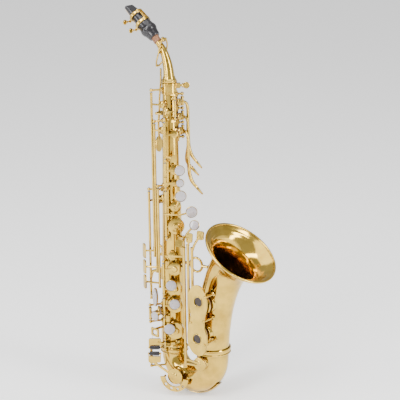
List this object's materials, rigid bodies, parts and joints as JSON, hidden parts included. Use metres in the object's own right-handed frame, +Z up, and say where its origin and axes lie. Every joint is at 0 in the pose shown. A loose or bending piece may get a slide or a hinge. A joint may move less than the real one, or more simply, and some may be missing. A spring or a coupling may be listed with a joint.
{
  "type": "soprano saxophone",
  "caption": "Curved soprano saxophone in lacquered brass: tapered body, bow, flared bell, keys with pearl touches and a mouthpiece.",
  "frame": {"origin": "centre of the strap ring on the back of the body tube", "axes": "+Z up along the body tube, +X towards the bell, +Y to the player's left"},
  "size_m": [0.2112, 0.095, 0.4903],
  "materials": {
    "lacquer": "clear lacquered yellow brass, polished",
    "key_lacquer": "clear lacquered brass keywork",
    "steel": "blued steel rod",
    "pearl": "mother-of-pearl",
    "ebonite": "polished hard rubber",
    "cork": "natural cork",
    "cane": "shaved cane",
    "leather": "tan leather pads",
    "felt": "felt bumpers"
  },
  "bodies": {
    "body": {"body_tube": "lacquer", "bow": "lacquer", "bell": "lacquer", "body_bow_ring": "lacquer", "bow_bell_ring": "lacquer", "bow_guard": "lacquer", "bell_brace": "lacquer", "low_b_guard": "key_lacquer", "low_c_guard": "key_lacquer", "thumb_hook": "lacquer", "strap_ring": "lacquer", "upper_stack_rod": "steel", "lower_stack_rod": "steel", "pinky_bracket": "key_lacquer"},
    "neck": {"neck": "lacquer", "neck_cork": "cork", "mouthpiece": "ebonite", "reed": "cane", "ligature": "key_lacquer"},
    "ligature_screw_lower": {"ligature_screw_lower": "key_lacquer"},
    "ligature_screw_upper": {"ligature_screw_upper": "key_lacquer"},
    "neck_screw": {"neck_screw": "key_lacquer"},
    "octave_lever": {"octave_lever": "key_lacquer"},
    "neck_octave_key": {"neck_octave_key": "key_lacquer"},
    "body_octave_key": {"body_octave_key": "key_lacquer"},
    "front_f_key": {"front_f_key": "key_lacquer"},
    "b_key": {"b_key": "key_lacquer", "b_pearl": "pearl"},
    "bis_key": {"bis_key": "key_lacquer", "bis_pearl": "pearl"},
    "a_key": {"a_key": "key_lacquer", "a_pearl": "pearl"},
    "g_key": {"g_key": "key_lacquer", "g_pearl": "pearl"},
    "f_key": {"f_key": "key_lacquer", "f_pearl": "pearl"},
    "e_key": {"e_key": "key_lacquer", "e_pearl": "pearl"},
    "d_key": {"d_key": "key_lacquer", "d_pearl": "pearl"},
    "fsharp_aux_key": {"fsharp_aux_key": "key_lacquer"},
    "gsharp_key": {"gsharp_key": "key_lacquer", "gsharp_pearl": "pearl"},
    "csharp_key": {"csharp_key": "key_lacquer"},
    "low_b_key": {"low_b_key": "key_lacquer"},
    "low_bb_key": {"low_bb_key": "key_lacquer"},
    "palm_f_key": {"palm_f_key": "key_lacquer"},
    "palm_d_key": {"palm_d_key": "key_lacquer"},
    "palm_eb_key": {"palm_eb_key": "key_lacquer"},
    "side_e_key": {"side_e_key": "key_lacquer"},
    "side_c_key": {"side_c_key": "key_lacquer"},
    "side_bb_key": {"side_bb_key": "key_lacquer"},
    "high_fsharp_key": {"high_fsharp_key": "key_lacquer", "oval_pearl": "pearl"},
    "trill_key": {"trill_key": "key_lacquer", "trill_pearl": "pearl"},
    "eb_key": {"eb_key": "key_lacquer"},
    "low_c_key": {"low_c_key": "key_lacquer"},
    "eb_roller": {"eb_roller": "ebonite"},
    "low_c_roller": {"low_c_roller": "ebonite"}
  },
  "joints": [
    {"name": "neck_swivel", "type": "hinge", "parent": "body", "child": "neck", "pos_m": [0.0235, 0, 0.219], "axis": [0, 0, 1], "range_deg": [-20, 20]},
    {"name": "ligature_screw_lower_turn", "type": "hinge", "parent": "neck", "child": "ligature_screw_lower", "pos_m": [-0.02421, -0.01, 0.28045], "axis": [0, -1, 0], "continuous": true},
    {"name": "ligature_screw_upper_turn", "type": "hinge", "parent": "neck", "child": "ligature_screw_upper", "pos_m": [-0.03349, -0.01, 0.29018], "axis": [0, -1, 0], "continuous": true},
    {"name": "neck_screw_turn", "type": "hinge", "parent": "body", "child": "neck_screw", "pos_m": [0.03532, 0.00924, 0.215], "axis": [0.788, 0.6157, 0], "continuous": true},
    {"name": "octave_lever_rock", "type": "hinge", "parent": "body", "child": "octave_lever", "pos_m": [0.0065, 0, 0.179], "axis": [0, 1, 0], "range_deg": [-3, 0], "stiffness_Nm_per_rad": 0.02},
    {"name": "neck_octave_rock", "type": "hinge", "parent": "neck", "child": "neck_octave_key", "pos_m": [0.0137, 0, 0.2556], "axis": [0, 1, 0], "range_deg": [0, 6], "stiffness_Nm_per_rad": 0.02},
    {"name": "body_octave_rock", "type": "hinge", "parent": "body", "child": "body_octave_key", "pos_m": [0.03664, -0.00613, 0.188], "axis": [0, 0, 1], "range_deg": [0, 9], "stiffness_Nm_per_rad": 0.02},
    {"name": "front_f_rock", "type": "hinge", "parent": "body", "child": "front_f_key", "pos_m": [0.02968, -0.01902, 0.149], "axis": [0, 0, 1], "range_deg": [0, 10], "stiffness_Nm_per_rad": 0.02},
    {"name": "b_rock", "type": "hinge", "parent": "body", "child": "b_key", "pos_m": [0.02968, -0.01902, 0.112], "axis": [0, 0, 1], "range_deg": [0, 10], "stiffness_Nm_per_rad": 0.02},
    {"name": "bis_rock", "type": "hinge", "parent": "body", "child": "bis_key", "pos_m": [0.02968, -0.01902, 0.097], "axis": [0, 0, 1], "range_deg": [0, 10], "stiffness_Nm_per_rad": 0.02},
    {"name": "a_rock", "type": "hinge", "parent": "body", "child": "a_key", "pos_m": [0.02968, -0.01902, 0.071], "axis": [0, 0, 1], "range_deg": [0, 10], "stiffness_Nm_per_rad": 0.02},
    {"name": "g_rock", "type": "hinge", "parent": "body", "child": "g_key", "pos_m": [0.02968, -0.01902, 0.042], "axis": [0, 0, 1], "range_deg": [0, 10], "stiffness_Nm_per_rad": 0.02},
    {"name": "f_rock", "type": "hinge", "parent": "body", "child": "f_key", "pos_m": [0.02767, -0.02363, -0.037], "axis": [0, 0, 1], "range_deg": [0, 9], "stiffness_Nm_per_rad": 0.02},
    {"name": "e_rock", "type": "hinge", "parent": "body", "child": "e_key", "pos_m": [0.02767, -0.02363, -0.064], "axis": [0, 0, 1], "range_deg": [0, 9], "stiffness_Nm_per_rad": 0.02},
    {"name": "d_rock", "type": "hinge", "parent": "body", "child": "d_key", "pos_m": [0.02767, -0.02363, -0.093], "axis": [0, 0, 1], "range_deg": [0, 9], "stiffness_Nm_per_rad": 0.02},
    {"name": "fsharp_aux_rock", "type": "hinge", "parent": "body", "child": "fsharp_aux_key", "pos_m": [0.02767, -0.02363, -0.016], "axis": [0, 0, 1], "range_deg": [0, 9], "stiffness_Nm_per_rad": 0.02},
    {"name": "gsharp_rock", "type": "hinge", "parent": "body", "child": "gsharp_key", "pos_m": [0.04668, -0.00621, 0.007], "axis": [0, 0, 1], "range_deg": [0, 8], "stiffness_Nm_per_rad": 0.02},
    {"name": "csharp_rock", "type": "hinge", "parent": "body", "child": "csharp_key", "pos_m": [0.0635, -0.027, -0.061], "axis": [0, 0, 1], "range_deg": [-6, 0], "stiffness_Nm_per_rad": 0.02},
    {"name": "low_b_rock", "type": "hinge", "parent": "body", "child": "low_b_key", "pos_m": [0.0745, -0.025, -0.021], "axis": [0, 0, 1], "range_deg": [0, 8], "stiffness_Nm_per_rad": 0.02},
    {"name": "low_bb_rock", "type": "hinge", "parent": "body", "child": "low_bb_key", "pos_m": [0.069, -0.026, -0.041], "axis": [0, 0, 1], "range_deg": [0, 8], "stiffness_Nm_per_rad": 0.02},
    {"name": "palm_f_rock", "type": "hinge", "parent": "body", "child": "palm_f_key", "pos_m": [0.03379, 0.01226, 0.195], "axis": [0, 0, 1], "range_deg": [0, 8], "stiffness_Nm_per_rad": 0.02},
    {"name": "palm_d_rock", "type": "hinge", "parent": "body", "child": "palm_d_key", "pos_m": [0.03379, 0.01226, 0.177], "axis": [0, 0, 1], "range_deg": [0, 8], "stiffness_Nm_per_rad": 0.02},
    {"name": "palm_eb_rock", "type": "hinge", "parent": "body", "child": "palm_eb_key", "pos_m": [0.03379, 0.01226, 0.159], "axis": [0, 0, 1], "range_deg": [0, 8], "stiffness_Nm_per_rad": 0.02},
    {"name": "side_e_rock", "type": "hinge", "parent": "body", "child": "side_e_key", "pos_m": [0.0097, -0.0185, 0.099], "axis": [0, 0, 1], "range_deg": [-7, 0], "stiffness_Nm_per_rad": 0.02},
    {"name": "side_c_rock", "type": "hinge", "parent": "body", "child": "side_c_key", "pos_m": [0.0139, -0.0193, 0.079], "axis": [0, 0, 1], "range_deg": [-7, 0], "stiffness_Nm_per_rad": 0.02},
    {"name": "side_bb_rock", "type": "hinge", "parent": "body", "child": "side_bb_key", "pos_m": [0.0183, -0.0204, 0.019], "axis": [0, 0, 1], "range_deg": [-7, 0], "stiffness_Nm_per_rad": 0.02},
    {"name": "high_fsharp_rock", "type": "hinge", "parent": "body", "child": "high_fsharp_key", "pos_m": [0.001, -0.017, 0.009], "axis": [0, 0, 1], "range_deg": [0, 7], "stiffness_Nm_per_rad": 0.02},
    {"name": "trill_rock", "type": "hinge", "parent": "body", "child": "trill_key", "pos_m": [0.0065, -0.0265, -0.077], "axis": [0, 0, 1], "range_deg": [0, 7], "stiffness_Nm_per_rad": 0.02},
    {"name": "eb_rock", "type": "hinge", "parent": "body", "child": "eb_key", "pos_m": [0.02767, -0.02363, -0.116], "axis": [0, 0, 1], "range_deg": [-6, 0], "stiffness_Nm_per_rad": 0.02},
    {"name": "low_c_rock", "type": "hinge", "parent": "body", "child": "low_c_key", "pos_m": [0.0065, -0.0265, -0.135], "axis": [0, 0, 1], "range_deg": [0, 4], "stiffness_Nm_per_rad": 0.02},
    {"name": "eb_roller_turn", "type": "hinge", "parent": "eb_key", "child": "eb_roller", "pos_m": [0.0179, -0.0324, -0.119], "axis": [0.788, 0.6157, 0], "continuous": true},
    {"name": "low_c_roller_turn", "type": "hinge", "parent": "low_c_key", "child": "low_c_roller", "pos_m": [0.01746, -0.03318, -0.127], "axis": [0.829, 0.5592, 0], "continuous": true}
  ],
  "couplings": [
    {"joint": "neck_octave_rock", "follows": "octave_lever_rock", "ratio": -2},
    {"joint": "fsharp_aux_rock", "follows": "f_rock", "ratio": 1}
  ]
}
